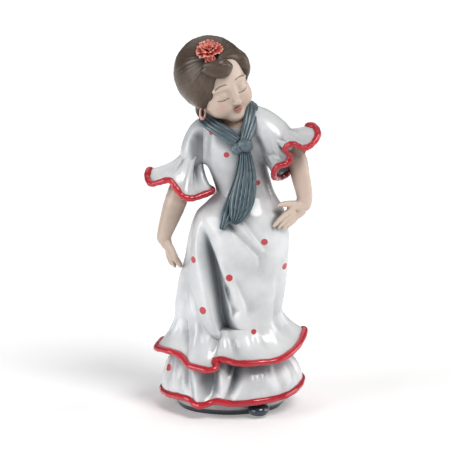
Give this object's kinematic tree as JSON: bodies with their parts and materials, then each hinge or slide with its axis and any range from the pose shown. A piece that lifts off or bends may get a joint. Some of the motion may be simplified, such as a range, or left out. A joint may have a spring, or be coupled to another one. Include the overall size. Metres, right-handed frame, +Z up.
{
  "type": "souvenir figurine",
  "caption": "Glazed porcelain figurine of a girl dancer in a flounced polka-dot dress with a neckerchief, on a low oval base.",
  "frame": {"origin": "middle of the base's flat underside", "axes": "+Z up, -Y towards the figure's front, +X to the right as seen from the front"},
  "size_m": [0.1013, 0.0788, 0.2195],
  "materials": {
    "glaze_white": "gloss",
    "glaze_red": "gloss",
    "skin": "satin",
    "hair": "gloss",
    "scarf": "gloss",
    "flower": "satin",
    "shoe": "gloss",
    "base": "gloss"
  },
  "bodies": {
    "root": {"base": "base", "skirt": "glaze_white", "lower_flounce": "glaze_white", "lower_flounce_edge": "glaze_red", "upper_flounce": "glaze_white", "upper_flounce_edge": "glaze_red", "bodice": "glaze_white", "right_sleeve": "glaze_white", "right_sleeve_flounce": "glaze_white", "right_sleeve_edge": "glaze_red", "left_sleeve": "glaze_white", "left_sleeve_flounce": "glaze_white", "left_sleeve_edge": "glaze_red", "right_forearm": "skin", "right_hand": "skin", "left_forearm": "skin", "left_hand": "skin", "neck": "skin", "head": "skin", "hair_cap": "hair", "hair_bun": "hair", "fringe_lock": "hair", "flower_middle": "flower", "flower_petal_1": "flower", "flower_petal_2": "flower", "flower_petal_3": "flower", "flower_petal_4": "flower", "flower_petal_5": "flower", "flower_petal_6": "flower", "flower_bud": "flower", "scarf_collar": "scarf", "scarf_knot": "scarf", "scarf_tail_back": "scarf", "scarf_tail_front": "scarf", "earring_right": "flower", "earring_left": "flower", "shoe": "shoe"}
  },
  "joints": []
}
